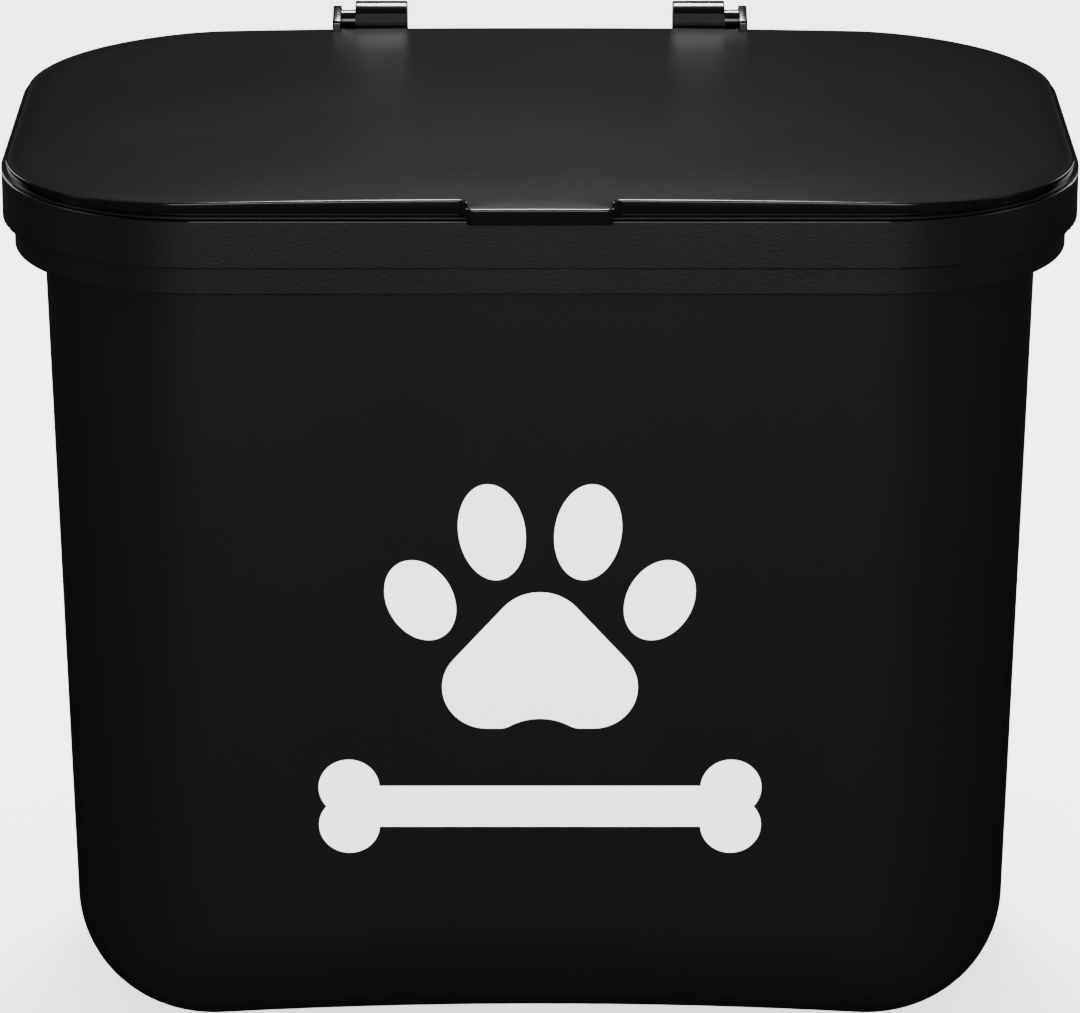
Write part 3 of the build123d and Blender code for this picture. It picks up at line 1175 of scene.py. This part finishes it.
@dataclass
class CarbonPad:
    """Foam pad of the filter, its faces rough with open cells."""

    foam: bpy.types.Material
    step: float = 1.1
    depth: float = 0.3
    cell: float = 1.6
    corner: float = 6.0

    def build(self) -> list[bpy.types.Object]:
        """Build the pad inside its box and hang it on the filter's body.

        Returns:
            The pad, in a list.
        """
        low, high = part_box("carbon_pad")
        size = Vector(high) - Vector(low)
        form = bmesh.new()
        count_x = round(size.x / MM / self.step)
        count_y = round(size.y / MM / self.step)
        for level in (low[2], high[2]):
            face_rows = []
            for j in range(count_y + 1):
                line = []
                for i in range(count_x + 1):
                    u, v = i / count_x * 2 - 1, j / count_y * 2 - 1
                    point = self.rounded(u, v, size)
                    rough = abs(noise.noise(Vector((point.x, point.y, level)) / (self.cell * MM)))
                    inward = self.depth * MM * rough * (1 if level == low[2] else -1)
                    x = (low[0] + high[0]) / 2 + point.x
                    y = (low[1] + high[1]) / 2 + point.y
                    line.append(form.verts.new((x, y, level + inward)))
                face_rows.append(line)
            for j in range(count_y):
                for i in range(count_x):
                    a, b = face_rows[j], face_rows[j + 1]
                    form.faces.new((a[i], a[i + 1], b[i + 1], b[i]))
        edges = [edge for edge in form.edges if edge.is_boundary]
        bmesh.ops.bridge_loops(form, edges=edges)
        bmesh.ops.recalc_face_normals(form, faces=form.faces)
        mesh = bpy.data.meshes.new("carbon_foam_pad")
        form.to_mesh(mesh)
        form.free()
        piece = object_from("carbon_foam_pad", mesh, (self.foam,))
        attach(piece, "filter")
        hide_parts("carbon_pad")
        return [piece]

    def rounded(self, u: float, v: float, size: Vector) -> Vector:
        """Map a square grid point onto the pad's round-cornered plan.

        Args:
            u: Place across, from -1 to 1.
            v: Place up, from -1 to 1.
            size: The pad's size.

        Returns:
            The point from the pad's middle, in metres.
        """
        x, y = u * size.x / 2, v * size.y / 2
        radius = self.corner * MM
        over_x = abs(x) - (size.x / 2 - radius)
        over_y = abs(y) - (size.y / 2 - radius)
        if over_x > 0 and over_y > 0:
            scale = max(over_x, over_y) / math.hypot(over_x, over_y)
            x = math.copysign(size.x / 2 - radius + over_x * scale, x)
            y = math.copysign(size.y / 2 - radius + over_y * scale, y)
        return Vector((x, y, 0.0))


@dataclass
class Mouldings:
    """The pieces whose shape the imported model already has: they only get their finish."""

    finishes: dict[str, bpy.types.Material]

    def build(self, subparts: Sequence[dict[str, str]]) -> list[bpy.types.Object]:
        """Dress every node by its slot.

        Args:
            subparts: The record's list of nodes and slots.

        Returns:
            The dressed nodes.
        """
        made = []
        for entry in subparts:
            piece = bpy.data.objects[entry["node"]]
            mesh = piece.data
            if not mesh.materials:
                mesh.materials.append(None)
            for index in range(len(mesh.materials)):
                mesh.materials[index] = self.finishes[entry["material_slot"]]
            made.append(piece)
        return made


# ---------------------------------------------------------------- studio


class Front(Enum):
    """Shape of a softbox's front, by Blender's name for it."""

    SQUARED = "RECTANGLE"
    ROUND = "ELLIPSE"


@dataclass(frozen=True)
class Softbox:
    """One soft light: where it hangs, what it faces, its size in metres and its power in watts."""

    name: str
    at: tuple[float, float, float]
    aim: tuple[float, float, float]
    size: tuple[float, float]
    watts: float
    front: Front = Front.SQUARED

    def hang(self) -> None:
        """Put the light in the scene, turned towards its aim."""
        lamp = bpy.data.lights.new(self.name, "AREA")
        lamp.shape = self.front.value
        lamp.size, lamp.size_y = self.size
        lamp.energy = self.watts
        holder = bpy.data.objects.new(self.name, lamp)
        holder.location = self.at
        holder.rotation_mode = "QUATERNION"
        holder.rotation_quaternion = (Vector(self.aim) - Vector(self.at)).to_track_quat("-Z", "Y")
        bpy.context.scene.collection.objects.link(holder)


@dataclass
class Studio:
    """Pale floor, even room light, softboxes and the camera. Lengths here are in metres."""

    places: Places
    floor_half: float = 8.0
    standoff: float = 1.2374  # camera in front of the lid's front edge
    rise: float = 0.3679  # camera above the parting line
    pitch: float = 19.44  # camera's downward look in degrees
    lens: float = 189.93  # focal length in millimetres
    sensor: float = 36.0  # width of its frame in millimetres
    far: float = 50.0
    room: float = 1.5
    glow: float = 1.8
    softboxes: tuple[Softbox, ...] = (
        Softbox("key_behind", (0.0, 0.45, 0.88), (0.0, 0.0, 0.22), (0.26, 0.32), 15.0, Front.ROUND),
        Softbox("front_card", (0.0, -1.38, 0.47), (0.0, -0.08, 0.35), (1.00, 0.56), 13.0),
        Softbox("side_left", (-1.24, -0.34, 0.50), (0.0, -0.05, 0.34), (0.36, 0.66), 1.6),
        Softbox("side_right", (1.24, -0.34, 0.50), (0.0, -0.05, 0.34), (0.36, 0.66), 1.6),
        Softbox("rear_left", (-0.95, 1.05, 0.50), (0.0, 0.05, 0.25), (0.70, 0.80), 8.0),
        Softbox("rear_right", (0.95, 1.05, 0.50), (0.0, 0.05, 0.25), (0.70, 0.80), 8.0),
    )

    def floor(self) -> None:
        """Lay the floor: opal acrylic lit from below, which the eye sees as plain and nearly white."""
        half = self.floor_half
        corners = [(-half, -half, 0), (half, -half, 0), (half, half, 0), (-half, half, 0)]
        mesh = bpy.data.meshes.new("floor")
        mesh.from_pydata(corners, [], [(0, 1, 2, 3)])
        plane = bpy.data.objects.new("floor", mesh)
        bpy.context.scene.collection.objects.link(plane)
        material, tree = blank_material("opal_light_table")
        place = add_node(tree, "ShaderNodeTexCoord").outputs["Object"]
        cloud = add_node(tree, "ShaderNodeTexNoise", {"Scale": 1.5, "Detail": 2.0}, {"Vector": place})
        tint = add_node(
            tree,
            "ShaderNodeMix",
            {"data_type": "RGBA", 6: linear("F8F8F7"), 7: linear("FCFCFB")},
            {0: cloud.outputs["Fac"]},
        )
        close_material(
            tree,
            {
                "Roughness": 0.9,
                "Specular IOR Level": 0.2,
                "Emission Color": linear("FFFFFF"),
                "Emission Strength": self.glow,
            },
            {"Base Color": tint.outputs[2]},
        )
        mesh.materials.append(material)
        plane.visible_glossy = False

    def air(self) -> None:
        """Fill the room with even light that plastics don't mirror."""
        world = bpy.data.worlds.new("room")
        bpy.context.scene.world = world
        world.use_nodes = True
        background = world.node_tree.nodes["Background"]
        background.inputs["Color"].default_value = linear("FAFAFA")
        background.inputs["Strength"].default_value = self.room
        world.cycles_visibility.glossy = False

    def camera(self) -> None:
        """Place the camera in front of the tab, looking down."""
        eye = bpy.data.cameras.new("camera")
        eye.lens = self.lens
        eye.sensor_width = self.sensor
        eye.clip_end = self.far
        holder = bpy.data.objects.new("camera", eye)
        holder.location = (0.0, self.places.front_y - self.standoff, self.places.part_z + self.rise)
        holder.rotation_euler = (math.radians(90 - self.pitch), 0.0, 0.0)
        bpy.context.scene.collection.objects.link(holder)
        bpy.context.scene.camera = holder

    def build(self) -> None:
        """Build the whole studio."""
        self.floor()
        self.air()
        for softbox in self.softboxes:
            softbox.hang()
        self.camera()


def main() -> None:
    """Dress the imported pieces, build lid, seal and pad in detail, light it all and report each piece."""
    logging.basicConfig(level=logging.INFO, format="%(name)s: %(message)s")
    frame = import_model()
    places = Places.read()
    outline = Outline(places)
    textured = MouldedPolypropylene("spark_textured_polypropylene").make()
    # The lid's black is painted a shade lighter than the tub's: painted light for the sheen its upward top
    # catches. Its low specular stands for the finer texture.
    fine = MouldedPolypropylene("fine_textured_polypropylene", colour="0B0B0C", specular=0.09).make()
    # Only what stands behind the ring's rear face is polished: the hinge's brackets and knuckles.
    behind = places.centre_y + places.half_y + 0.2 * MM
    ring = MouldedPolypropylene("spark_textured_polypropylene_ring", mask=Mask.BEHIND, plane_y=behind).make()
    polished = PolishedPlastic("mould_polished_polypropylene").make()
    acetal = PolishedPlastic("turned_black_acetal", colour="0E0E0F", roughness=0.14).make()
    rubber = Elastomer("moulded_elastomer").make()
    feet = Elastomer("moulded_grip_elastomer", colour="1F2021", roughness=0.75).make()
    foam = CarbonFoam("carbon_loaded_foam").make()
    cage = MouldedPolypropylene(
        "satin_grey_polypropylene", colour="3A3C3F", roughness=0.42, grain_mm=1.2
    ).make()
    ink = ScreenPrint("white_screen_print").make()
    finishes = {
        "tub_plastic": textured,
        "ring_plastic": ring,
        "lid_plastic": fine,
        "pin_plastic": acetal,
        "seal_rubber": rubber,
        "foot_rubber": feet,
        "cage_plastic": cage,
        "carbon_foam": foam,
        "print_white": ink,
    }
    pieces = Mouldings(finishes).build(frame["record"]["subparts"])
    pieces += Lid(outline, fine, polished).build()
    pieces += Seal(outline, rubber).build()
    pieces += CarbonPad(foam).build()
    for piece in pieces:
        LOG.info("%s", piece.name)
    Studio(places).build()


if __name__ == "__main__":
    main()
